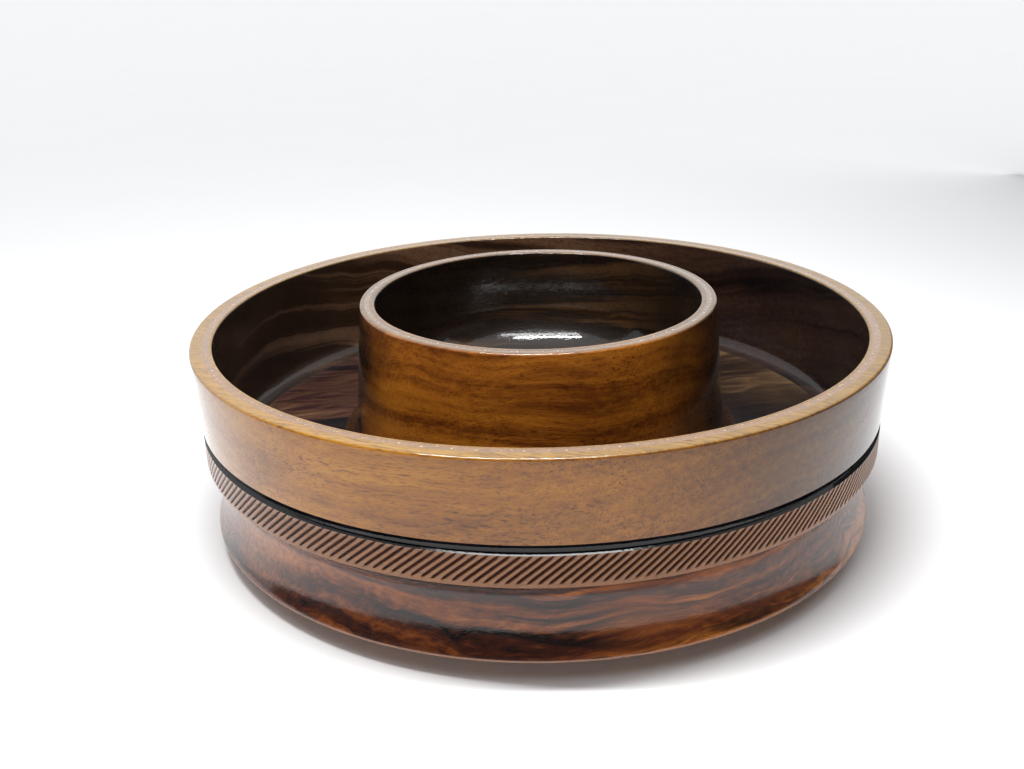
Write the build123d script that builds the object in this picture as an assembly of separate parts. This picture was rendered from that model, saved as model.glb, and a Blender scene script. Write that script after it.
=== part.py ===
"""Chip and dip server: a turned wooden bowl with a ring-shaped chip trough round a raised dip cup.

Frame: millimetres, +Z up, Z is the turning axis. The origin is the centre of the foot's resting plane.
Every wooden piece is a solid of revolution, glued face to face with its neighbours.
"""

import math
import os
import random

from build123d import *

# ---- driving dimensions ------------------------------------------------------------------------
RIM_R = 150.0               # outer radius of the bowl at its rim
RIM_Z = 88.0                # height of the rim above the table
RIM_WIDTH = 9.4             # width of the rim's top face
EDGE_ROUND = 1.0            # softened edges of both rims

WALL_LOW_R = 148.4          # the outside of the wall tapers in to this radius at the accent ring
ACCENT_TOP_Z = 55.7         # black accent ring: a cove from its top down to a valley, then a bevel
ACCENT_VALLEY_Z = 52.5
ACCENT_LOW_Z = 51.7
ACCENT_DEPTH = 1.2
RING_BORE_R = 144.0         # bore of the accent ring and carved band, round the wall's spigot

BAND_LOW_Z = 38.8           # bottom of the carved band
SEAT_R = 142.5              # rabbet in the base's top that the wall's foot drops into
BAND_LIP_R = 147.8          # plain lip below the carving
BAND_LIP_HEIGHT = 1.7
BAND_LIP_CHAMFER = 0.6

FLOOR_Z = 36.5              # floor of the chip trough, which is the glue plane of base and wall
TROUGH_FILLET = 7.5         # between the wall and that floor
WALL_INSIDE_LOW_R = 140.0   # inside radius of the wall where that fillet starts

THROAT_R = 141.4            # narrowest radius of the outside cove, under the carved band
THROAT_Z = 27.6
COVE_TOP_RADIUS = 13.5      # the cove curves out tightly to the carved band above the throat
COVE_LOW_RADIUS = 34.5      # and gently to the skirt below it
SKIRT_Z = 9.2               # height of the widest edge of the base
SKIRT_ROUND = 0.6
SKIRT_THICKNESS = 1.2       # height of that edge
FOOT_R = 118.0              # outside radius of the foot ring that the base stands on
FOOT_RING_WIDTH = 14.0
FOOT_HEIGHT = 4.5           # from the table to where the underside starts to rise to the skirt
FOOT_SLOPE = 2.0            # how far the sides of the foot ring lean
RECESS_DEPTH = 6.0          # hollow inside the foot ring

CUP_TOP_Z = 97.2            # rim of the dip cup
CUP_RIM_R = 78.0
CUP_LOW_R = 83.0            # outside of the cup just above its flared foot
CUP_FLARE = 6.0             # radius of the flare that meets the trough floor
CUP_FLARE_EDGE = 0.6        # thickness left at the edge of that flare
CUP_MOUTH_R = 71.4
CUP_INSIDE_LOW_R = 70.4     # inside radius where the wall starts to curve into the bottom
CUP_BOTTOM_Z = 48.0         # lowest point inside the cup
CUP_BOWL_R = 24.0           # radius of the curve from the cup's inside wall to its bottom
TENON_R = 58.0              # round tenon that locates the cup in the base
TENON_DEPTH = 6.0

INLAY_DEPTH = 2.0
RIM_INLAY_R = (142.0, 145.2)
CUP_INLAY_R = (73.8, 76.0)
FLAKE_DEPTH = 0.25
RIM_FLAKE_COUNT = 150
CUP_FLAKE_COUNT = 84
FLAKE_R = (0.35, 0.65)      # smallest and largest flake
FLAKE_MARGIN = 0.1          # resin left beside the largest flake
FLAKE_SHIFT = 0.3           # how far a flake strays from even spacing, in spacings

GROOVE_COUNT = 254
GROOVE_LEAN = 50.0          # degrees from upright
GROOVE_WIDTH = 1.25
GROOVE_DEPTH = 0.75
GROOVE_MID_Z = 46.6
GROOVE_PATH = ((-9.4, 0.0), (-6.4, 0.85), (6.0, 0.85), (9.6, 0.30))  # (distance along the cut, depth)
CUTTER_MARGIN = 0.5         # how far the cutting tool stands out of the surface


# ---- helpers -----------------------------------------------------------------------------------
def profile(*edges):
    """Closed face in the X-Z plane from edges drawn as (radius, height)."""
    return make_face([Plane.XZ * edge for edge in edges])


def turned(*edges):
    """Solid of revolution about Z."""
    return revolve(profile(*edges), axis=Axis.Z)


def chain(*points):
    """Straight edges through the points, in order."""
    return [Line(start, end) for start, end in zip(points, points[1:])]


def corner(center, radius, start, end):
    """Arc about a centre, from one direction to another, in degrees from outward towards up."""
    return CenterArc(center, radius, start, end - start)


def ring(inner_r, outer_r, low_z, high_z):
    """Plain ring with a rectangular section."""
    return turned(*chain((inner_r, low_z), (outer_r, low_z), (outer_r, high_z), (inner_r, high_z),
                         (inner_r, low_z)))


# ---- wooden pieces -----------------------------------------------------------------------------
def cove_radius_at(z):
    """Radius of the outside cove, on the base and on the foot of the wall, at a height."""
    curve = COVE_TOP_RADIUS if z > THROAT_Z else COVE_LOW_RADIUS
    return THROAT_R + curve - math.sqrt(curve ** 2 - (THROAT_Z - z) ** 2)


def cove_arc(low_z, high_z):
    """The outside cove between two heights on one side of the throat, drawn downwards."""
    mid_z = (low_z + high_z) / 2
    return ThreePointArc(*[(cove_radius_at(z), z) for z in (high_z, mid_z, low_z)])


def make_base():
    """Thick floor disc: coved skirt, foot ring, a mortise for the cup and a rabbet for the wall's foot."""
    skirt_r = cove_radius_at(SKIRT_Z)
    under_z = SKIRT_Z - SKIRT_THICKNESS
    recess_r = FOOT_R - FOOT_RING_WIDTH
    outside = [cove_arc(THROAT_Z, BAND_LOW_Z), cove_arc(SKIRT_Z, THROAT_Z)]
    edge = ThreePointArc((skirt_r, SKIRT_Z), (skirt_r - SKIRT_ROUND / 4, (SKIRT_Z + under_z) / 2),
                         (skirt_r - SKIRT_ROUND, under_z))
    underside = chain((skirt_r - SKIRT_ROUND, under_z), (FOOT_R + FOOT_SLOPE, FOOT_HEIGHT), (FOOT_R, 0.0),
                      (recess_r, 0.0), (recess_r - FOOT_SLOPE, RECESS_DEPTH), (0.0, RECESS_DEPTH))
    top = chain((0.0, RECESS_DEPTH), (0.0, FLOOR_Z - TENON_DEPTH), (TENON_R, FLOOR_Z - TENON_DEPTH),
                (TENON_R, FLOOR_Z), (SEAT_R, FLOOR_Z), (SEAT_R, BAND_LOW_Z),
                (cove_radius_at(BAND_LOW_Z), BAND_LOW_Z))
    return turned(*outside, edge, *underside, *top)


def make_wall():
    """Upper wall with its inside down to the trough floor, its foot and the spigot for the two rings."""
    inner_r = RIM_R - RIM_WIDTH
    fillet_top_z = FLOOR_Z + TROUGH_FILLET
    fillet_center = (WALL_INSIDE_LOW_R - TROUGH_FILLET, fillet_top_z)
    inside = [
        corner(fillet_center, TROUGH_FILLET, 270, 360),
        *chain((WALL_INSIDE_LOW_R, fillet_top_z), (inner_r, RIM_Z - EDGE_ROUND)),
        corner((inner_r + EDGE_ROUND, RIM_Z - EDGE_ROUND), EDGE_ROUND, 180, 90),
    ]
    groove_z = RIM_Z - INLAY_DEPTH
    top = [
        *chain((inner_r + EDGE_ROUND, RIM_Z), (RIM_INLAY_R[0], RIM_Z), (RIM_INLAY_R[0], groove_z),
               (RIM_INLAY_R[1], groove_z), (RIM_INLAY_R[1], RIM_Z), (RIM_R - EDGE_ROUND, RIM_Z)),
        corner((RIM_R - EDGE_ROUND, RIM_Z - EDGE_ROUND), EDGE_ROUND, 90, 0),
    ]
    outside = [
        *chain((RIM_R, RIM_Z - EDGE_ROUND), (WALL_LOW_R, ACCENT_TOP_Z), (RING_BORE_R, ACCENT_TOP_Z),
               (RING_BORE_R, BAND_LOW_Z), (SEAT_R, BAND_LOW_Z), (SEAT_R, FLOOR_Z),
               (WALL_INSIDE_LOW_R - TROUGH_FILLET, FLOOR_Z)),
    ]
    return turned(*inside, *top, *outside)


def make_accent_ring():
    """Black ring whose outside is hollowed: a cove that ends upright in the valley, and a bevel below it."""
    rise = ACCENT_TOP_Z - ACCENT_VALLEY_Z
    cove_r = (rise ** 2 + ACCENT_DEPTH ** 2) / (2 * ACCENT_DEPTH)
    cove_center = (WALL_LOW_R - ACCENT_DEPTH + cove_r, ACCENT_VALLEY_Z)
    cove = corner(cove_center, cove_r, 180 - math.degrees(math.asin(rise / cove_r)), 180)
    rest = chain((WALL_LOW_R - ACCENT_DEPTH, ACCENT_VALLEY_Z), (WALL_LOW_R, ACCENT_LOW_Z),
                 (RING_BORE_R, ACCENT_LOW_Z), (RING_BORE_R, ACCENT_TOP_Z), (WALL_LOW_R, ACCENT_TOP_Z))
    return turned(cove, *rest)


def groove_cutter():
    """Boat-shaped tool for one V-groove, lying along local Y with its keel towards local -Z."""
    slope = GROOVE_WIDTH / (2 * GROOVE_DEPTH)
    stations = []
    for along, depth in GROOVE_PATH:
        half_width = slope * (depth + CUTTER_MARGIN)
        stations.append([(0.0, along, -depth), (half_width, along, CUTTER_MARGIN),
                         (-half_width, along, CUTTER_MARGIN)])
    faces = [stations[0], stations[-1]]
    for near, far in zip(stations, stations[1:]):
        for index in range(3):
            after = (index + 1) % 3
            faces.append([near[index], near[after], far[after], far[index]])
    shell = Shell([Face(Wire.make_polygon([Vector(point) for point in face])) for face in faces])
    return Solid(shell)


def make_carved_band():
    """Ring with slanted V-grooves cut round it, and a plain lip below them."""
    lip_top_z = BAND_LOW_Z + BAND_LIP_HEIGHT
    band = turned(*chain((RING_BORE_R, BAND_LOW_Z), (BAND_LIP_R, BAND_LOW_Z),
                         (BAND_LIP_R, lip_top_z - BAND_LIP_CHAMFER), (WALL_LOW_R, lip_top_z),
                         (WALL_LOW_R, ACCENT_LOW_Z), (RING_BORE_R, ACCENT_LOW_Z), (RING_BORE_R, BAND_LOW_Z)))
    lean = math.radians(GROOVE_LEAN)
    across = (0, math.cos(lean), -math.sin(lean))
    first_cut = Plane(origin=(WALL_LOW_R, 0, GROOVE_MID_Z), x_dir=across, z_dir=(1, 0, 0)) * groove_cutter()
    cuts = [Rot(0, 0, 360 * index / GROOVE_COUNT) * first_cut for index in range(GROOVE_COUNT)]
    return band.cut(*cuts)


def make_dip_cup():
    """Round cup with a flared foot, a bowl-shaped inside and a tenon under it."""
    flare_top_z = FLOOR_Z + CUP_FLARE + CUP_FLARE_EDGE
    flare_center = (CUP_LOW_R + CUP_FLARE, flare_top_z)
    bowl_center = (CUP_INSIDE_LOW_R - CUP_BOWL_R, CUP_BOTTOM_Z + CUP_BOWL_R)
    outside = [
        *chain((0.0, FLOOR_Z - TENON_DEPTH), (TENON_R, FLOOR_Z - TENON_DEPTH), (TENON_R, FLOOR_Z),
               (flare_center[0], FLOOR_Z), (flare_center[0], FLOOR_Z + CUP_FLARE_EDGE)),
        corner(flare_center, CUP_FLARE, 270, 180),
        *chain((CUP_LOW_R, flare_top_z), (CUP_RIM_R, CUP_TOP_Z - EDGE_ROUND)),
        corner((CUP_RIM_R - EDGE_ROUND, CUP_TOP_Z - EDGE_ROUND), EDGE_ROUND, 0, 90),
    ]
    groove_z = CUP_TOP_Z - INLAY_DEPTH
    top = [
        *chain((CUP_RIM_R - EDGE_ROUND, CUP_TOP_Z), (CUP_INLAY_R[1], CUP_TOP_Z), (CUP_INLAY_R[1], groove_z),
               (CUP_INLAY_R[0], groove_z), (CUP_INLAY_R[0], CUP_TOP_Z), (CUP_MOUTH_R + EDGE_ROUND, CUP_TOP_Z)),
        corner((CUP_MOUTH_R + EDGE_ROUND, CUP_TOP_Z - EDGE_ROUND), EDGE_ROUND, 90, 180),
    ]
    inside = [
        *chain((CUP_MOUTH_R, CUP_TOP_Z - EDGE_ROUND), (CUP_INSIDE_LOW_R, bowl_center[1])),
        corner(bowl_center, CUP_BOWL_R, 360, 270),
        *chain((bowl_center[0], CUP_BOTTOM_Z), (0.0, CUP_BOTTOM_Z), (0.0, FLOOR_Z - TENON_DEPTH)),
    ]
    return turned(*outside, *top, *inside)


# ---- resin inlays and the metal flakes in them --------------------------------------------------
def make_flakes(count, inlay_r, top_z, seed):
    """Thin five-sided metal flakes, flush with the top of an inlay, unevenly spaced round it."""
    draw = random.Random(seed)
    margin = FLAKE_R[1] + FLAKE_MARGIN
    flakes = []
    for index in range(count):
        angle = 360 / count * (index + draw.uniform(-FLAKE_SHIFT, FLAKE_SHIFT))
        radius = draw.uniform(inlay_r[0] + margin, inlay_r[1] - margin)
        outline = RegularPolygon(draw.uniform(*FLAKE_R), 5, rotation=draw.uniform(0, 72))
        flake = extrude(Pos(radius, 0, top_z) * outline, -FLAKE_DEPTH)
        flakes.append(Rot(0, 0, angle) * flake)
    return flakes


def make_inlay(inlay_r, top_z, flakes):
    """Resin that fills a rim's groove, round the flakes."""
    return ring(inlay_r[0], inlay_r[1], top_z - INLAY_DEPTH, top_z).cut(*flakes)


# ---- assembly ----------------------------------------------------------------------------------
rim_flakes = make_flakes(RIM_FLAKE_COUNT, RIM_INLAY_R, RIM_Z, seed=11)
cup_flakes = make_flakes(CUP_FLAKE_COUNT, CUP_INLAY_R, CUP_TOP_Z, seed=12)
nodes = {
    "base": make_base(),
    "wall": make_wall(),
    "accent_ring": make_accent_ring(),
    "carved_band": make_carved_band(),
    "dip_cup": make_dip_cup(),
    "rim_inlay": make_inlay(RIM_INLAY_R, RIM_Z, rim_flakes),
    "cup_inlay": make_inlay(CUP_INLAY_R, CUP_TOP_Z, cup_flakes),
    "rim_flakes": Compound(children=rim_flakes),
    "cup_flakes": Compound(children=cup_flakes),
}

os.makedirs("parts", exist_ok=True)
for name, shape in nodes.items():
    export_step(shape, f"parts/{name}.step")
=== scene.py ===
"""Looks of the chip and dip server: lathe-turned pieces, wood, lacquer and resin, round the CAD frame."""
import math
import random

import bpy
from mathutils import Matrix, Vector


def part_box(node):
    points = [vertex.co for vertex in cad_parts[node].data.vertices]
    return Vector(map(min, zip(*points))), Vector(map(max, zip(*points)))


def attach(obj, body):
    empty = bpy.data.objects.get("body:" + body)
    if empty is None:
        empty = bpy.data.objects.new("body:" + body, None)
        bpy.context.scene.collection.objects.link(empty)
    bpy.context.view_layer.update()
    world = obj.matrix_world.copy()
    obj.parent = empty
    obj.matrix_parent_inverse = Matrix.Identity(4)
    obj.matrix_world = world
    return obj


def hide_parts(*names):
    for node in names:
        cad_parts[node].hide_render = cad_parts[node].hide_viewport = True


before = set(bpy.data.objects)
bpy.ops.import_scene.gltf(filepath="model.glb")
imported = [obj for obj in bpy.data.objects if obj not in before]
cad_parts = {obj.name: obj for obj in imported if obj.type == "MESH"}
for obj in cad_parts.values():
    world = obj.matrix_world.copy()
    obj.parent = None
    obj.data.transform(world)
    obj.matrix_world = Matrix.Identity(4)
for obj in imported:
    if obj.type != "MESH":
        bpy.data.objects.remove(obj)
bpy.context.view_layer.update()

MM = 0.001

# ---- main sizes, read from the frame where a node gives them ---------------------------------------
WALL_LOW, WALL_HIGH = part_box("wall")
CUP_LOW, CUP_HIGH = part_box("dip_cup")
ACCENT_LOW, ACCENT_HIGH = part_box("accent_ring")
BAND_LOW, BAND_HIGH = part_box("carved_band")

RIM_Z = WALL_HIGH.z
RIM_R = 150.0 * MM
RIM_WIDTH = 9.4 * MM
EDGE_ROUND = 1.0 * MM
FLOOR_Z = WALL_LOW.z
RING_R = 148.4 * MM             # outside of the accent ring and the carved band
RING_BORE_R = 144.0 * MM
SEAT_R = 142.5 * MM             # rabbet in the base round the wall's foot
ACCENT_BEVEL_HEIGHT = 0.8 * MM
ACCENT_DEPTH = 1.2 * MM         # how deep the accent ring is hollowed
WALL_INSIDE_LOW_R = 140.0 * MM
TROUGH_FILLET = 7.5 * MM

THROAT_R = 141.4 * MM
THROAT_Z = 27.6 * MM
COVE_TOP_R = 13.5 * MM
COVE_LOW_R = 34.5 * MM
SKIRT_Z = 9.2 * MM
SKIRT_ROUND = 0.6 * MM
SKIRT_THICKNESS = 1.2 * MM
FOOT_R = 118.0 * MM
FOOT_RING_WIDTH = 14.0 * MM
FOOT_HEIGHT = 4.5 * MM
RECESS_DEPTH = 6.0 * MM

CUP_TOP_Z = CUP_HIGH.z
CUP_RIM_R = 78.0 * MM
CUP_LOW_R = 83.0 * MM
CUP_FLARE = 6.0 * MM
CUP_FLARE_EDGE = 0.6 * MM
CUP_MOUTH_R = 71.4 * MM
CUP_INSIDE_LOW_R = 70.4 * MM
CUP_BOTTOM_Z = 48.0 * MM
CUP_BOWL_R = 24.0 * MM
TENON_R = 58.0 * MM
TENON_Z = CUP_LOW.z

RIM_INLAY_R = (142.0 * MM, 145.2 * MM)
CUP_INLAY_R = (73.8 * MM, 76.0 * MM)
INLAY_DEPTH = 2.0 * MM

AROUND = 384                    # steps round a turned piece
STEP = 3.0 * MM                 # longest edge along a turned piece's outline
TINY = 1e-7                     # lengths below this count as none


# ---- mesh helpers ----------------------------------------------------------------------------------
def arc(center, radius, start, end, steps=12):
    """Points of an arc in the (radius, height) plane, from one direction to another, in degrees."""
    points = []
    for index in range(steps + 1):
        angle = math.radians(start + (end - start) * index / steps)
        points.append((center[0] + radius * math.cos(angle), center[1] + radius * math.sin(angle)))
    return points


def refine(outline):
    """The outline with its long straight runs split into steps."""
    points = []
    for (r0, z0), (r1, z1) in zip(outline, outline[1:]):
        length = math.hypot(r1 - r0, z1 - z0)
        if length < TINY:
            continue
        count = max(1, math.ceil(length / STEP))
        points += [(r0 + (r1 - r0) * i / count, z0 + (z1 - z0) * i / count) for i in range(count)]
    points.append(outline[-1])
    return points


def new_piece(name, vertices, faces, sharp=35.0):
    """Mesh object from vertices and faces, smooth except along its sharp edges."""
    mesh = bpy.data.meshes.new(name)
    mesh.from_pydata(vertices, [], faces)
    mesh.validate()
    mesh.shade_smooth()
    mesh.set_sharp_from_angle(angle=math.radians(sharp))
    piece = bpy.data.objects.new(name, mesh)
    bpy.context.scene.collection.objects.link(piece)
    return piece


def lathe(name, outline):
    """Turned piece: the outline swept round Z. Points on the axis become one vertex."""
    outline = refine(outline)
    if math.dist(outline[0], outline[-1]) < TINY:
        outline = outline[:-1]
    vertices, rings = [], []
    for radius, height in outline:
        if radius < TINY:
            rings.append([len(vertices)] * AROUND)
            vertices.append((0.0, 0.0, height))
            continue
        rings.append(list(range(len(vertices), len(vertices) + AROUND)))
        for step in range(AROUND):
            angle = 2 * math.pi * step / AROUND
            vertices.append((radius * math.cos(angle), radius * math.sin(angle), height))
    faces = []
    pairs = list(zip(rings, rings[1:]))
    if outline[0][0] > TINY:
        pairs.append((rings[-1], rings[0]))
    for low, high in pairs:
        for step in range(AROUND):
            after = (step + 1) % AROUND
            corners = [low[step], low[after], high[after], high[step]]
            face = list(dict.fromkeys(corners))
            if len(face) > 2:
                faces.append(face)
    return new_piece(name, vertices, faces)


# ---- outlines, outside counter-clockwise in (radius, height) ---------------------------------------
def cove_radius(z):
    """Radius of the outside cove at a height: tight above its throat, gentle below it."""
    curve = COVE_TOP_R if z > THROAT_Z else COVE_LOW_R
    return THROAT_R + curve - math.sqrt(curve ** 2 - (THROAT_Z - z) ** 2)


def cove_outline(low_z, high_z, steps=16):
    """The outside cove between two heights, drawn upwards."""
    heights = [low_z + (high_z - low_z) * i / steps for i in range(steps + 1)]
    return [(cove_radius(z), z) for z in heights]


def base_outline():
    skirt_r = cove_radius(SKIRT_Z)
    under_z = SKIRT_Z - SKIRT_THICKNESS
    recess_r = FOOT_R - FOOT_RING_WIDTH
    roll = arc((skirt_r - SKIRT_ROUND, SKIRT_Z - SKIRT_ROUND), SKIRT_ROUND, -80, 20, 8)
    return [
        (0.0, RECESS_DEPTH), (recess_r - 3 * MM, RECESS_DEPTH),
        (recess_r - 1.6 * MM, RECESS_DEPTH - 0.4 * MM),
        (recess_r - 0.4 * MM, 0.8 * MM), (recess_r + 0.6 * MM, 0.0), (FOOT_R - 0.6 * MM, 0.0),
        (FOOT_R + 0.2 * MM, 0.6 * MM), (FOOT_R + 1.8 * MM, FOOT_HEIGHT - 0.3 * MM),
        (FOOT_R + 3.0 * MM, FOOT_HEIGHT + 0.1 * MM), (skirt_r - 3 * SKIRT_ROUND, under_z - 0.2 * MM),
        *roll,
        *cove_outline(SKIRT_Z + 0.3 * MM, THROAT_Z), *cove_outline(THROAT_Z, BAND_LOW.z, 10),
        (SEAT_R, BAND_LOW.z), (SEAT_R, FLOOR_Z), (TENON_R, FLOOR_Z), (TENON_R, TENON_Z), (0.0, TENON_Z),
    ]


def wall_outline():
    inner_r = RIM_R - RIM_WIDTH
    fillet_z = FLOOR_Z + TROUGH_FILLET
    inside = arc((WALL_INSIDE_LOW_R - TROUGH_FILLET, fillet_z), TROUGH_FILLET, 270, 360, 16)
    inner_edge = arc((inner_r + EDGE_ROUND, RIM_Z - EDGE_ROUND), EDGE_ROUND, 180, 90, 6)
    outer_edge = arc((RIM_R - EDGE_ROUND, RIM_Z - EDGE_ROUND), EDGE_ROUND, 90, 0, 8)
    groove_z = RIM_Z - INLAY_DEPTH
    return [
        *inside, *inner_edge,
        (RIM_INLAY_R[0], RIM_Z), (RIM_INLAY_R[0], groove_z),
        (RIM_INLAY_R[1], groove_z), (RIM_INLAY_R[1], RIM_Z),
        *outer_edge,
        (RING_R, ACCENT_HIGH.z), (RING_BORE_R, ACCENT_HIGH.z), (RING_BORE_R, BAND_LOW.z),
        (SEAT_R, BAND_LOW.z), (SEAT_R, FLOOR_Z), (WALL_INSIDE_LOW_R - TROUGH_FILLET, FLOOR_Z),
    ]


def cup_outline():
    flare_z = FLOOR_Z + CUP_FLARE + CUP_FLARE_EDGE
    flare = arc((CUP_LOW_R + CUP_FLARE, flare_z), CUP_FLARE, 270, 180, 14)
    outer_edge = arc((CUP_RIM_R - EDGE_ROUND, CUP_TOP_Z - EDGE_ROUND), EDGE_ROUND, 0, 90, 8)
    inner_edge = arc((CUP_MOUTH_R + EDGE_ROUND, CUP_TOP_Z - EDGE_ROUND), EDGE_ROUND, 90, 180, 6)
    bowl = arc((CUP_INSIDE_LOW_R - CUP_BOWL_R, CUP_BOTTOM_Z + CUP_BOWL_R), CUP_BOWL_R, 360, 270, 28)
    groove_z = CUP_TOP_Z - INLAY_DEPTH
    return [
        (0.0, TENON_Z), (TENON_R, TENON_Z), (TENON_R, FLOOR_Z), (CUP_LOW_R + CUP_FLARE, FLOOR_Z),
        *flare, *outer_edge,
        (CUP_INLAY_R[1], CUP_TOP_Z), (CUP_INLAY_R[1], groove_z), (CUP_INLAY_R[0], groove_z),
        (CUP_INLAY_R[0], CUP_TOP_Z),
        *inner_edge, *bowl, (0.0, CUP_BOTTOM_Z),
    ]


def accent_outline():
    """Black ring with a hollowed outside: a cove down to its valley, then a bevel."""
    low, high = ACCENT_LOW.z, ACCENT_HIGH.z
    valley = low + ACCENT_BEVEL_HEIGHT
    rise = high - valley
    radius = (rise ** 2 + ACCENT_DEPTH ** 2) / (2 * ACCENT_DEPTH)
    top_angle = 180 - math.degrees(math.asin(rise / radius))
    cove = arc((RING_R - ACCENT_DEPTH + radius, valley), radius, 180, top_angle, 16)
    return [(RING_BORE_R, low), (RING_R, low), *cove, (RING_BORE_R, high), (RING_BORE_R, low)]


# ---- the carved band: slanted V-cuts left by a wheel, fading out at their ends ---------------------
GROOVE_COUNT = 254
GROOVE_LEAN = math.radians(50.0)
GROOVE_STEEPNESS = 1.2          # depth gained per distance from the cut's edge
GROOVE_MID_Z = 46.6 * MM
GROOVE_PATH = ((-9.4, 0.0), (-8.0, 0.85), (6.0, 0.85), (9.6, 0.30))     # mm: (along the cut, depth)
CUT_FACE_DEPTH = 0.2 * MM       # faces sunk deeper than this show the cut's darker wood
LIP_R = 147.8 * MM
LIP_TOP_Z = BAND_LOW.z + 1.7 * MM
LIP_CHAMFER = 0.6 * MM
COLUMNS = tuple(step / 10 for step in range(-5, 5))     # places in one spacing of the cuts
BAND_ROWS = 48


def cut_depth(across, along):
    """Depth of a V-cut at a distance across its line and along it from its middle."""
    deepest = 0.0
    for (start, first), (end, last) in zip(GROOVE_PATH, GROOVE_PATH[1:]):
        if start * MM <= along <= end * MM:
            deepest = (first + (last - first) * (along / MM - start) / (end - start)) * MM
    deepest -= (along * math.sin(GROOVE_LEAN)) ** 2 / (2 * RING_R)
    return max(0.0, deepest - abs(across) * GROOVE_STEEPNESS)


def band_mesh():
    """Carved band: its face's columns follow the slant, so the cuts' edges lie along columns of faces."""
    pitch = 2 * math.pi / GROOVE_COUNT
    columns = GROOVE_COUNT * len(COLUMNS)
    top = BAND_HIGH.z
    rows = [LIP_TOP_Z + (top - LIP_TOP_Z) * row / BAND_ROWS for row in range(BAND_ROWS + 1)]
    lip = [(RING_BORE_R, top), (RING_BORE_R, BAND_LOW.z), (LIP_R - 0.3 * MM, BAND_LOW.z),
           (LIP_R, BAND_LOW.z + 0.3 * MM), (LIP_R, LIP_TOP_Z - LIP_CHAMFER)]
    vertices, faces, depths = [], [], []
    heights = [z for _, z in lip] + rows
    for level, z in enumerate(heights):
        twist = (z - GROOVE_MID_Z) * math.tan(GROOVE_LEAN) / RING_R
        for column in range(columns):
            share = COLUMNS[column % len(COLUMNS)]
            angle = (column // len(COLUMNS) + share) * pitch + twist
            if level < len(lip):
                radius = lip[level][0]
            else:
                sideways = share * pitch * RING_R
                along = (z - GROOVE_MID_Z) / math.cos(GROOVE_LEAN) + sideways * math.sin(GROOVE_LEAN)
                radius = RING_R - cut_depth(sideways * math.cos(GROOVE_LEAN), along)
            vertices.append((radius * math.cos(angle), radius * math.sin(angle), z))
    levels = len(heights)
    for level in range(levels):
        above = (level + 1) % levels
        for column in range(columns):
            after = (column + 1) % columns
            faces.append([level * columns + column, level * columns + after,
                          above * columns + after, above * columns + column])
            depth = 0.0
            if level >= len(lip) and above:
                depth = RING_R - sum(math.hypot(*vertices[v][:2]) for v in faces[-1]) / 4
            depths.append(depth)
    return new_piece("carved_band_mesh", vertices, faces, sharp=40.0), depths


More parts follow.
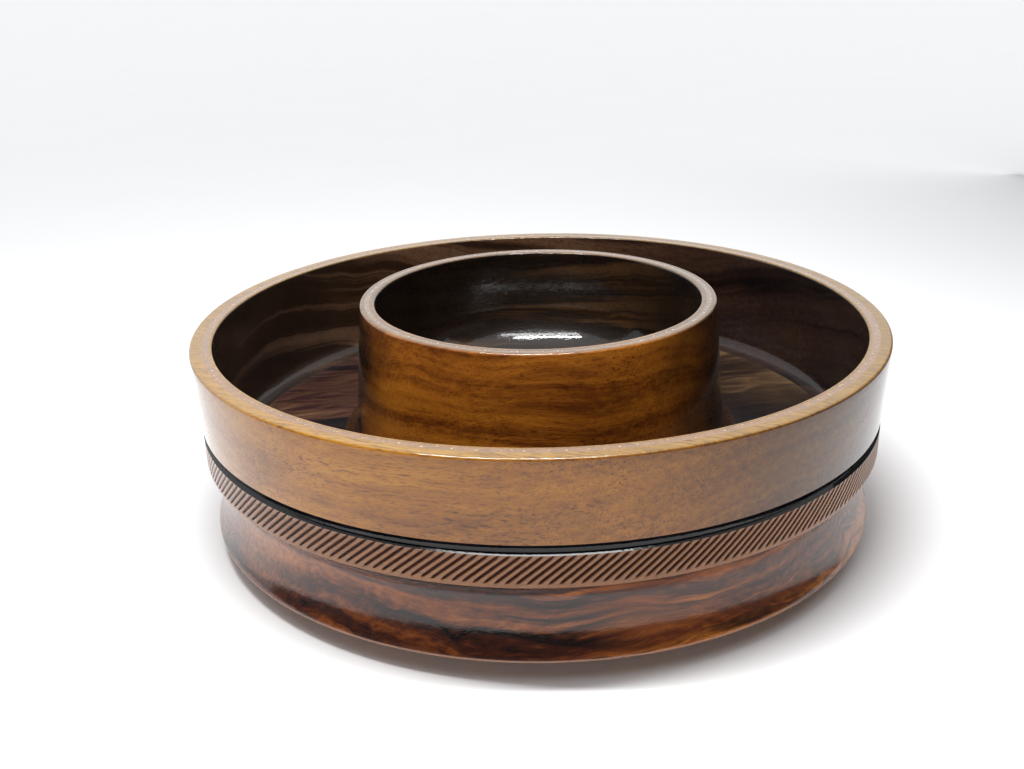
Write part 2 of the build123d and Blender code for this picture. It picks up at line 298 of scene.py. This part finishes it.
# ---- materials -------------------------------------------------------------------------------------
class Nodes:
    """Short calls for building one node material."""

    def __init__(self, name):
        self.material = bpy.data.materials.new(name)
        self.material.use_nodes = True
        self.tree = self.material.node_tree
        self.tree.nodes.clear()
        self.output = self.tree.nodes.new("ShaderNodeOutputMaterial")
        self.shader = self.tree.nodes.new("ShaderNodeBsdfPrincipled")
        self.tree.links.new(self.shader.outputs[0], self.output.inputs["Surface"])

    def link(self, source, target):
        self.tree.links.new(source, target)

    def set(self, **values):
        """Fixed values on the shader's own sockets: spaces in a socket's name become underscores."""
        for name, value in values.items():
            self.shader.inputs[name.replace("_", " ")].default_value = value

    def place(self):
        """The piece's own coordinates, in metres."""
        return self.tree.nodes.new("ShaderNodeTexCoord").outputs["Object"]

    def scaled(self, vector, scale):
        node = self.tree.nodes.new("ShaderNodeMapping")
        node.inputs["Scale"].default_value = scale
        self.link(vector, node.inputs["Vector"])
        return node.outputs[0]

    def noise(self, vector, scale=1.0, detail=4.0, rough=0.55, distort=0.0, color=False):
        node = self.tree.nodes.new("ShaderNodeTexNoise")
        node.inputs["Scale"].default_value = scale
        node.inputs["Detail"].default_value = detail
        node.inputs["Roughness"].default_value = rough
        node.inputs["Distortion"].default_value = distort
        self.link(vector, node.inputs["Vector"])
        return node.outputs["Color" if color else "Fac"]

    def math(self, kind, first, second=None, clamp=False):
        node = self.tree.nodes.new("ShaderNodeMath")
        node.operation = kind
        node.use_clamp = clamp
        for index, value in enumerate((first, second)):
            if value is None:
                continue
            if isinstance(value, (int, float)):
                node.inputs[index].default_value = value
            else:
                self.link(value, node.inputs[index])
        return node.outputs[0]

    def plus(self, first, second):
        return self.math("ADD", first, second)

    def minus(self, first, second):
        return self.math("SUBTRACT", first, second)

    def times(self, first, second):
        return self.math("MULTIPLY", first, second)

    def distance(self, first, second):
        """How far two values are apart, whichever is larger."""
        return self.math("ABSOLUTE", self.minus(first, second))

    def length(self, first, second):
        """Length of the vector that has these two parts."""
        return self.math("SQRT", self.plus(self.math("POWER", first, 2.0), self.math("POWER", second, 2.0)))

    def vector_math(self, kind, first, second):
        node = self.tree.nodes.new("ShaderNodeVectorMath")
        node.operation = kind
        for index, value in enumerate((first, second)):
            if isinstance(value, (tuple, list)):
                node.inputs[index].default_value = value
            elif isinstance(value, (int, float)):
                node.inputs["Scale"].default_value = value
            else:
                self.link(value, node.inputs[index])
        return node.outputs[0]

    def parts(self, vector):
        node = self.tree.nodes.new("ShaderNodeSeparateXYZ")
        self.link(vector, node.inputs[0])
        return node.outputs

    def joined(self, x, y, z):
        node = self.tree.nodes.new("ShaderNodeCombineXYZ")
        for index, value in enumerate((x, y, z)):
            if isinstance(value, (int, float)):
                node.inputs[index].default_value = value
            else:
                self.link(value, node.inputs[index])
        return node.outputs[0]

    def ramp(self, factor, *stops):
        node = self.tree.nodes.new("ShaderNodeValToRGB")
        elements = node.color_ramp.elements
        while len(elements) < len(stops):
            elements.new(0.5)
        for element, (position, color) in zip(elements, stops):
            element.position = position
            element.color = (*color, 1.0) if len(color) == 3 else color
        self.link(factor, node.inputs[0])
        return node.outputs[0]

    def fade(self, value, low, high, start=0.0, end=1.0, kind="SMOOTHSTEP"):
        """Step from start, at low, to end, at high: a smooth one unless its kind is LINEAR."""
        node = self.tree.nodes.new("ShaderNodeMapRange")
        node.interpolation_type = kind
        for name, number in (("From Min", low), ("From Max", high), ("To Min", start), ("To Max", end)):
            node.inputs[name].default_value = number
        self.link(value, node.inputs["Value"])
        return node.outputs[0]

    def mix(self, factor, first, second, blend="MIX"):
        node = self.tree.nodes.new("ShaderNodeMix")
        node.data_type = "RGBA"
        node.blend_type = blend
        for name, value in (("Factor", factor), ("A", first), ("B", second)):
            socket = [s for s in node.inputs if s.name == name and s.enabled][0]
            if isinstance(value, (int, float)):
                socket.default_value = value
            elif isinstance(value, (tuple, list)):
                socket.default_value = (*value, 1.0)
            else:
                self.link(value, socket)
        return [s for s in node.outputs if s.enabled][0]

    def tinted(self, color, factor):
        return self.mix(1.0, color, factor, "MULTIPLY")

    def bump(self, height, distance, strength=1.0, normal=None):
        node = self.tree.nodes.new("ShaderNodeBump")
        node.inputs["Strength"].default_value = strength
        node.inputs["Distance"].default_value = distance
        self.link(height, node.inputs["Height"])
        if normal is not None:
            self.link(normal, node.inputs["Normal"])
        return node.outputs[0]


class Wood(Nodes):
    """Lacquered wood: growth layers round a pith line, fibres, soft clouds and pores, its grain near X.

    glow() comes before paint(), the other calls after it change the colour, and lacquer() ends the material.
    """
    WARP_SCALE = (9, 22, 22)            # per metre: along the grain, across it, up
    FIBRE_SCALE = (22, 520, 520)
    CLOUD_SCALE = (18, 30, 30)
    PORE_SCALE = (150, 1500, 1500)
    TICK_SCALE = (330, 2600, 2600)
    PORE_PATCH_SCALE = (14, 90, 90)
    SKIN_SCALE = 420.0
    LAYER_STRETCH = 3.0
    FIBRE_SHARE = 0.55
    PITH = (0.0, -0.30)                 # place of the pith line in Y and Z
    SEED_SHIFT = (0.13, 0.027, 0.0)     # how far each seed moves the figure
    BLACK = (0.006, 0.003, 0.003)

    def __init__(self, name, turn=-20.0, streak=1.0, figure=0.35, drift=(0, 0, 0), layers=55.0, wave=0.015,
                 seed=0.0):
        """drift is how the tone changes per metre along each axis."""
        super().__init__(name)
        self.x, self.y, self.z = self.parts(self.place())
        turned = self.tree.nodes.new("ShaderNodeMapping")
        turned.inputs["Rotation"].default_value = (0.0, 0.0, math.radians(-turn))
        turned.inputs["Location"].default_value = tuple(shift * seed for shift in self.SEED_SHIFT)
        self.link(self.place(), turned.inputs["Vector"])
        grain = turned.outputs[0]
        warp = self.noise(self.scaled(grain, self.WARP_SCALE), 1.0, 3.0, 0.5, color=True)
        warp = self.vector_math("SUBTRACT", warp, (0.5, 0.5, 0.5))
        self.bent = self.vector_math("ADD", grain, self.vector_math("SCALE", warp, wave))
        along, across, up = self.parts(self.bent)
        from_pith = self.length(self.minus(across, self.PITH[0]), self.minus(up, self.PITH[1]))
        layer_place = self.joined(self.times(along, self.LAYER_STRETCH), self.times(from_pith, layers),
                                  0.7 * seed)
        self.bands = self.noise(layer_place, 1.6, 5.0, 0.62, 0.25)
        self.fibres = self.noise(self.scaled(self.bent, self.FIBRE_SCALE), 1.0, 3.0, 0.6)
        self.cloud = self.noise(self.scaled(grain, self.CLOUD_SCALE), 1.0, 3.0, 0.55)
        tone = self.plus(self.centred(self.bands, streak), self.centred(self.fibres, self.FIBRE_SHARE))
        tone = self.plus(tone, self.centred(self.cloud, figure))
        for own, change in zip((self.x, self.y, self.z), drift):
            tone = self.plus(tone, self.times(own, change))
        self.tone = tone

    def centred(self, noise, amount):
        """A noise moved to swing about zero, and scaled."""
        return self.times(self.minus(noise, 0.5), amount)

    def glow(self, start, end, height, amount):
        """Paler patch between two places along X, below a height."""
        patch = self.times(self.fade(self.x, start - 12 * MM, start + 12 * MM),
                           self.fade(self.x, end - 20 * MM, end + 20 * MM, 1.0, 0.0))
        patch = self.times(patch, self.fade(self.z, height - 4 * MM, height + 4 * MM, amount, 0.0))
        self.tone = self.plus(self.tone, patch)

    def paint(self, tones):
        self.tone = self.math("ADD", self.tone, 0.5, clamp=True)
        self.color = self.ramp(self.tone, *tones)

    def black_veins(self, strength):
        """Thin black lines along one of the growth layers, here and there."""
        vein = self.times(self.fade(self.distance(self.bands, 0.47), 0.0, 0.05, 1.0, 0.0),
                          self.fade(self.cloud, 0.40, 0.58))
        self.color = self.mix(self.times(vein, strength), self.color, self.BLACK)

    def main_vein(self, points):
        """One black vein across the front through points (x, z) in millimetres, left to right."""
        first, last = points[0][0] * MM, points[-1][0] * MM
        highest = max(level for _, level in points) * MM
        stops = [((place * MM - first) / (last - first), (level * MM / highest,) * 3)
                 for place, level in points]
        share = self.fade(self.x, first, last, kind="LINEAR")
        vein_z = self.times(self.ramp(share, *stops), highest)
        off_vein = self.distance(self.plus(self.z, self.centred(self.fibres, 3.0 * MM)), vein_z)
        reach = self.fade(self.cloud, 0.35, 0.65, 1.2 * MM, 2.6 * MM)
        vein = self.math("SUBTRACT", 1.0, self.math("DIVIDE", off_vein, reach), clamp=True)
        ends = self.times(self.fade(self.x, first, first + 10 * MM),
                          self.fade(self.x, last - 45 * MM, last, 0.9, 0.0))
        front = self.fade(self.y, -0.05, 0.0, 1.0, 0.0)
        self.color = self.mix(self.times(self.fade(vein, 0.0, 0.7), self.times(ends, front)), self.color,
                              (0.006, 0.002, 0.002))

    def shaded_sides(self, middle, near, far, factor):
        """Painted shade, partly heartwood, on both sides of a pale strip across X: from near to far away
        from its middle.
        """
        off_middle = self.distance(self.plus(self.x, self.centred(self.cloud, 0.05)), middle)
        self.color = self.mix(self.fade(off_middle, near, far), self.color, self.tinted(self.color, factor))

    def shaded_inside(self, outer, inner, factor, slopes, gloss):
        """Painted shade inside a radius over darker, less glossy wood, with patches that grow along the
        slopes in X and Y.
        """
        lean = self.plus(self.times(self.x, slopes[0]), self.times(self.y, slopes[1]))
        patches = self.fade(self.plus(self.bands, lean), 0.48, 0.62)
        lighter = tuple(4.0 * part for part in factor)
        in_shade = self.mix(patches, self.tinted(self.color, factor), self.tinted(self.color, lighter))
        radius = self.length(self.x, self.y)
        self.color = self.mix(self.fade(radius, inner, outer, 1.0, 0.0), self.color, in_shade)
        self.link(self.fade(radius, inner, outer, gloss, 1.0), self.shader.inputs["Coat Weight"])

    def pale_top(self, height, pale):
        """Pale end grain of a rim's top face, above a height."""
        darker = tuple(0.75 * part for part in pale)
        grain = self.mix(self.fade(self.fibres, 0.35, 0.65), darker, pale)
        share = self.times(self.fade(self.z, height, height + EDGE_FADE), 0.8)
        self.color = self.mix(share, self.color, grain)

    def painted_edge_highlight(self, height, pale):
        """Painted highlight along the lower edge, where it catches the floor's light, below a height."""
        self.color = self.mix(self.fade(self.z, height - EDGE_FADE, height, 0.8, 0.0), self.color, pale)

    def lacquer(self, pores, roughness=0.05):
        """Pores, and the clear coat over everything. Gives the finished material."""
        dashes = self.noise(self.scaled(self.bent, self.PORE_SCALE), 1.0, 2.0, 0.5)
        ticks = self.noise(self.scaled(self.bent, self.TICK_SCALE), 1.0, 1.0, 0.5)
        patch = self.noise(self.scaled(self.bent, self.PORE_PATCH_SCALE), 1.0, 2.0, 0.5)
        pore = self.math("MAXIMUM", self.times(self.fade(dashes, 0.54, 0.68),
                                               self.fade(patch, 0.40, 0.60, 0.3, 1.0)),
                         self.times(self.fade(ticks, 0.56, 0.67), 0.7))
        color = self.mix(self.times(pore, pores), self.color, self.tinted(self.color, (0.30, 0.20, 0.22)))
        self.link(color, self.shader.inputs["Base Color"])
        self.link(self.fade(self.tone, 0.2, 0.9, 0.50, 0.36), self.shader.inputs["Roughness"])
        skin = self.bump(self.noise(self.place(), self.SKIN_SCALE, 2.0, 0.5), 0.00007, 0.6)
        self.link(self.bump(pore, 0.00008, 0.5, skin), self.shader.inputs["Normal"])
        self.link(self.bump(pore, 0.00003, 0.25, skin), self.shader.inputs["Coat Normal"])
        if not self.shader.inputs["Coat Weight"].is_linked:
            self.set(Coat_Weight=1.0)
        self.set(Coat_Roughness=roughness, Coat_IOR=1.5, Specular_IOR_Level=0.10)
        return self.material


GOLDEN = ((0.05, (0.05, 0.013, 0.002)), (0.32, (0.20, 0.064, 0.006)), (0.60, (0.385, 0.146, 0.011)),
          (0.95, (0.53, 0.230, 0.020)))
CUP_TONES = ((0.05, (0.03, 0.006, 0.001)), (0.30, (0.20, 0.052, 0.005)), (0.60, (0.46, 0.145, 0.013)),
             (0.95, (0.60, 0.22, 0.022)))
DARK = ((0.11, (0.004, 0.002, 0.002)), (0.30, (0.060, 0.011, 0.003)), (0.49, (0.19, 0.047, 0.008)),
        (0.84, (0.50, 0.165, 0.022)))
BAND = ((0.05, (0.09, 0.030, 0.012)), (0.40, (0.22, 0.083, 0.025)), (0.95, (0.34, 0.15, 0.052)))
CUT = ((0.10, (0.014, 0.004, 0.004)), (0.60, (0.060, 0.017, 0.010)), (0.95, (0.12, 0.040, 0.018)))
MAIN_VEIN = ((-64, 20.5), (-48, 20.6), (-37, 19.0), (-32, 15.2), (-30, 14.4), (-28, 16.6), (-24, 18.2),
             (-10, 17.6), (4, 15.2), (18, 13.4), (34, 12.0), (52, 10.5))
EDGE_FADE = 0.3 * MM            # width of the change of colour at a rim's top or the base's lower edge
# where the painted shade inside a hollow starts and is full, outside its mouth
INSIDE_SHADE_FADE = (0.9 * MM, 0.3 * MM)      # how far outside a mouth its dark inside starts, and is full


def golden_wood():
    wood = Wood("golden_wood", streak=1.0, figure=0.4, seed=1.0, drift=(-1.6, 0, 0))
    inner_r = RIM_R - RIM_WIDTH
    wood.paint(GOLDEN)
    # painted shade at the wall's sides: the pale strip between them stands for the front's chatoyant sheen
    wood.shaded_sides(-0.03, 0.05, 0.13, (0.45, 0.46, 0.48))
    # painted shade inside the wall, over darker wood
    wood.shaded_inside(inner_r + INSIDE_SHADE_FADE[0], inner_r + INSIDE_SHADE_FADE[1], (0.062, 0.085, 0.60),
                     (0.5, 0.7), 0.7)
    wood.pale_top(RIM_Z - EDGE_ROUND / 2, (0.31, 0.175, 0.032))
    return wood.lacquer(pores=0.85)


def cup_wood():
    wood = Wood("cup_wood", turn=0.0, streak=1.3, figure=0.5, seed=2.6, layers=80.0, wave=0.02)
    wood.paint(CUP_TONES)
    # painted shade at the cup's sides, where they face the dark trough, partly heartwood
    wood.shaded_sides(-0.006, 0.045, 0.080, (0.10, 0.12, 0.3))
    # painted shade inside the cup, over darker wood
    wood.shaded_inside(CUP_MOUTH_R + INSIDE_SHADE_FADE[0], CUP_MOUTH_R + INSIDE_SHADE_FADE[1], (0.028, 0.042, 0.16),
                     (1.6, 0.4), 0.85)
    wood.pale_top(CUP_TOP_Z - EDGE_ROUND / 2, (0.19, 0.115, 0.05))
    return wood.lacquer(pores=0.8)


def dark_wood():
    wood = Wood("dark_wood", turn=10.0, streak=2.0, figure=0.6, seed=3.0, wave=0.03, layers=40.0,
                drift=(1.2, 0, -4.0))
    wood.glow(18 * MM, 62 * MM, 22 * MM, 0.22)
    wood.paint(DARK)
    wood.black_veins(0.9)
    wood.main_vein(MAIN_VEIN)
    # painted shade in the trough, over darker wood
    wood.shaded_inside(WALL_INSIDE_LOW_R + INSIDE_SHADE_FADE[0], WALL_INSIDE_LOW_R, (0.10, 0.18, 0.60),
                     (-0.6, 0.0), 0.7)
    # painted highlight along the base's lower edge
    wood.painted_edge_highlight(SKIRT_Z - 0.1 * MM, (0.36, 0.17, 0.09))
    return wood.lacquer(pores=0.4)


def carved_wood():
    wood = Wood("carved_wood", streak=0.4, figure=0.25, seed=4.0)
    wood.paint(BAND)
    return wood.lacquer(pores=0.4, roughness=0.25)


def groove_wood():
    wood = Wood("carved_groove", streak=0.3, figure=0.2, seed=5.0)
    wood.paint(CUT)
    return wood.lacquer(pores=0.3, roughness=0.4)


def black_lacquer():
    m = Nodes("black_lacquer")
    cloud = m.noise(m.place(), 90.0, 3.0, 0.5)
    m.link(m.ramp(cloud, (0.3, (0.002, 0.002, 0.003)), (0.7, (0.007, 0.006, 0.008))),
           m.shader.inputs["Base Color"])
    m.link(m.fade(cloud, 0.3, 0.7, 0.05, 0.10), m.shader.inputs["Roughness"])
    m.link(m.bump(m.noise(m.place(), 600.0, 2.0, 0.5), 0.00005, 0.5), m.shader.inputs["Normal"])
    m.set(Specular_IOR_Level=0.34)
    return m.material


def resin(name, low, high):
    """Glossy cast resin, slightly cloudy."""
    m = Nodes(name)
    cloud = m.noise(m.place(), 260.0, 3.0, 0.6)
    m.link(m.ramp(cloud, (0.3, low), (0.7, high)), m.shader.inputs["Base Color"])
    m.link(m.fade(cloud, 0.3, 0.7, 0.22, 0.32), m.shader.inputs["Roughness"])
    m.link(m.bump(m.noise(m.place(), 500.0, 2.0, 0.5), 0.00004, 0.4), m.shader.inputs["Normal"])
    m.set(Coat_Weight=1.0, Coat_Roughness=0.04, Coat_IOR=1.5)
    return m.material


def leaf(name, low, high):
    """Crumpled metal leaf."""
    m = Nodes(name)
    cloud = m.noise(m.place(), 900.0, 2.0, 0.5)
    m.link(m.ramp(cloud, (0.3, low), (0.7, high)), m.shader.inputs["Base Color"])
    m.link(m.fade(cloud, 0.3, 0.7, 0.18, 0.34), m.shader.inputs["Roughness"])
    m.link(m.bump(m.noise(m.place(), 1500.0, 2.0, 0.5), 0.0002, 0.6), m.shader.inputs["Normal"])
    m.set(Metallic=1.0)
    return m.material


def paper_white(name, value):
    m = Nodes(name)
    cloud = m.noise(m.place(), 8.0, 3.0, 0.5)
    m.link(m.ramp(cloud, (0.3, (value * 0.99,) * 3), (0.7, (value,) * 3)), m.shader.inputs["Base Color"])
    m.set(Roughness=0.9, Specular_IOR_Level=0.1)
    return m.material


# ---- pieces ----------------------------------------------------------------------------------------
def finish_piece(piece, node, slot, *materials):
    for material in materials:
        piece.data.materials.append(material)
    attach(piece, "root")
    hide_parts(node)


def carved_band():
    """The cut band, with the darker wood on the faces that lie in the cuts."""
    band, depths = band_mesh()
    finish_piece(band, "carved_band", "carved_wood", carved_wood(), groove_wood())
    for polygon, depth in zip(band.data.polygons, depths):
        polygon.material_index = 1 if depth > CUT_FACE_DEPTH else 0


def inlay(name, node, radii, top_z, material):
    """Resin ring between two radii, a hair below the wood on each side of it."""
    low, high = radii
    bottom_z = top_z - INLAY_DEPTH
    sunk, steps = 0.03 * MM, 8
    across = [(low + (high - low) * i / steps, top_z - sunk * (1 + math.sin(math.pi * i / steps)))
              for i in range(steps + 1)]
    outline = [(low, bottom_z), (high, bottom_z), *reversed(across), (low, bottom_z)]
    finish_piece(lathe(name, outline), node, "resin", material)


def flakes(name, node, slot, material, count, radii, top_z, sizes, seed):
    """Crumpled flakes in a resin ring, unevenly spaced round it and flush with its top."""
    margin, crumple, thickness = 0.1 * MM, 0.04 * MM, 0.12 * MM
    draw = random.Random(seed)
    vertices, faces = [], []
    for index in range(count):
        angle = 2 * math.pi * (index + draw.uniform(-0.45, 0.45)) / count
        size = draw.uniform(*sizes)
        radius = draw.uniform(radii[0] + size + margin, radii[1] - size - margin)
        center = Vector((radius * math.cos(angle), radius * math.sin(angle), top_z))
        corners = draw.randint(4, 6)
        start = len(vertices)
        outline = []
        for corner in range(corners):
            turn = 2 * math.pi * (corner + draw.uniform(-0.25, 0.25)) / corners
            reach = size * draw.uniform(0.7, 1.0)
            sunk = draw.uniform(0.0, crumple)
            outline.append(center + Vector((reach * math.cos(turn), reach * math.sin(turn), -sunk)))
        vertices += outline + [point - Vector((0, 0, thickness)) for point in outline]
        faces.append([start + i for i in range(corners)])
        faces.append([start + corners + i for i in reversed(range(corners))])
        for corner in range(corners):
            after = (corner + 1) % corners
            faces.append([start + corner, start + corners + corner, start + corners + after, start + after])
    finish_piece(new_piece(name, vertices, faces, sharp=20.0), node, slot, material)


finish_piece(lathe("wall_turned", wall_outline()), "wall", "golden_wood", golden_wood())
finish_piece(lathe("base_turned", base_outline()), "base", "dark_wood", dark_wood())
finish_piece(lathe("cup_turned", cup_outline()), "dip_cup", "cup_wood", cup_wood())
finish_piece(lathe("accent_ring_turned", accent_outline()), "accent_ring", "black_lacquer", black_lacquer())
carved_band()
inlay("rim_resin", "rim_inlay", RIM_INLAY_R, RIM_Z,
      resin("rim_resin", (0.15, 0.065, 0.018), (0.24, 0.115, 0.035)))
inlay("cup_resin", "cup_inlay", CUP_INLAY_R, CUP_TOP_Z,
      resin("cup_resin", (0.10, 0.055, 0.020), (0.17, 0.10, 0.045)))
flakes("rim_leaf", "rim_flakes", "gold_flake", leaf("gold_leaf", (0.70, 0.48, 0.20), (1.0, 0.82, 0.50)),
       150, RIM_INLAY_R, RIM_Z, (0.4 * MM, 0.8 * MM), 11)
flakes("cup_leaf", "cup_flakes", "silver_flake", leaf("silver_leaf", (0.7, 0.68, 0.66), (0.98, 0.97, 0.95)),
       84, CUP_INLAY_R, CUP_TOP_Z, (0.3 * MM, 0.65 * MM), 12)


# ---- floor, light and camera -----------------------------------------------------------------------
LAMP_Z = 0.62
DARK_PAPER = 0.03               # how much light the cards give back
GREY_PAPER = 0.15


def make_floor():
    size = 12.0
    floor = new_piece("floor", [(-size, -size, 0), (size, -size, 0), (size, size, 0), (-size, size, 0)],
                      [[0, 1, 2, 3]])
    floor.data.materials.append(paper_white("floor_white", 0.93))


def make_world():
    """White tent all round."""
    world = bpy.data.worlds.new("studio")
    bpy.context.scene.world = world
    world.use_nodes = True
    background = world.node_tree.nodes["Background"]
    background.inputs["Color"].default_value = (0.945, 0.955, 0.975, 1.0)
    background.inputs["Strength"].default_value = 1.05


def curved_card(name, radius, middle, spread, low, high, value, bounce=True):
    """Card on an arc round the bowl, unseen by the camera. Without bounce it shows in reflections only."""
    steps = 32
    vertices, faces = [], []
    for step in range(steps + 1):
        angle = math.radians(middle - spread + 2 * spread * step / steps)
        vertices += [(radius * math.cos(angle), radius * math.sin(angle), z) for z in (low, high)]
    for step in range(steps):
        faces.append([2 * step, 2 * step + 2, 2 * step + 3, 2 * step + 1])
    card = new_piece(name, vertices, faces)
    card.data.materials.append(paper_white(name + "_paper", value))
    card.visible_camera = False
    card.visible_shadow = False
    card.visible_diffuse = bounce


def area_light(name, place, target, size, power, bounce=True):
    """Rectangular lamp. Without bounce it shows in reflections only."""
    light = bpy.data.lights.new(name, "AREA")
    light.shape = "RECTANGLE"
    light.size, light.size_y = size
    light.energy = power
    lamp = bpy.data.objects.new(name, light)
    bpy.context.scene.collection.objects.link(lamp)
    lamp.location = place
    lamp.rotation_euler = (Vector(target) - Vector(place)).to_track_quat("-Z", "Y").to_euler()
    lamp.visible_diffuse = bounce


def make_camera():
    """Camera at the viewing angle: from the front, above the rim, turned a little off the bowl's middle."""
    distance, height = 3.1068 * RIM_R, 1.0012 * RIM_R
    pan, tilt, roll = -0.0244, -0.0638, -0.0176
    aim = Vector((0.0, distance, -height)).normalized()
    right = Vector((1.0, 0.0, 0.0))
    up = right.cross(aim)
    aim = (aim * math.cos(pan) * math.cos(tilt) + right * math.sin(pan) * math.cos(tilt)
           + up * math.sin(tilt)).normalized()
    level_right = aim.cross(up).normalized()
    level_up = level_right.cross(aim)
    right = level_right * math.cos(roll) + level_up * math.sin(roll)
    up = level_up * math.cos(roll) - level_right * math.sin(roll)
    data = bpy.data.cameras.new("camera")
    data.sensor_width = 36.0
    data.lens = 38.67
    data.clip_start, data.clip_end = 0.01, 50.0
    camera = bpy.data.objects.new("camera", data)
    bpy.context.scene.collection.objects.link(camera)
    place = Vector((0.0, -distance, RIM_Z + height))
    turn = Matrix((right, up, -aim)).transposed().to_4x4()
    camera.matrix_world = Matrix.Translation(place) @ turn
    bpy.context.scene.camera = camera


make_floor()
make_world()
curved_card("dark_room", 0.95, -90.0, 85.0, 0.30, 1.30, DARK_PAPER)
curved_card("dark_room_low", 0.62, -90.0, 85.0, 0.0, 0.28, DARK_PAPER, bounce=False)
curved_card("grey_side", 0.90, 5.0, 50.0, 0.0, 0.60, GREY_PAPER)
area_light("strip_front", (-0.06, -0.138, LAMP_Z), (-0.06, -0.138, 0.0), (0.36, 0.024), 5.0)
area_light("strip_glint", (-0.01, -0.225, LAMP_Z), (-0.01, -0.148, 0.05), (0.50, 0.06), 1.6, bounce=False)
make_camera()
bpy.context.scene.view_settings.view_transform = "Standard"
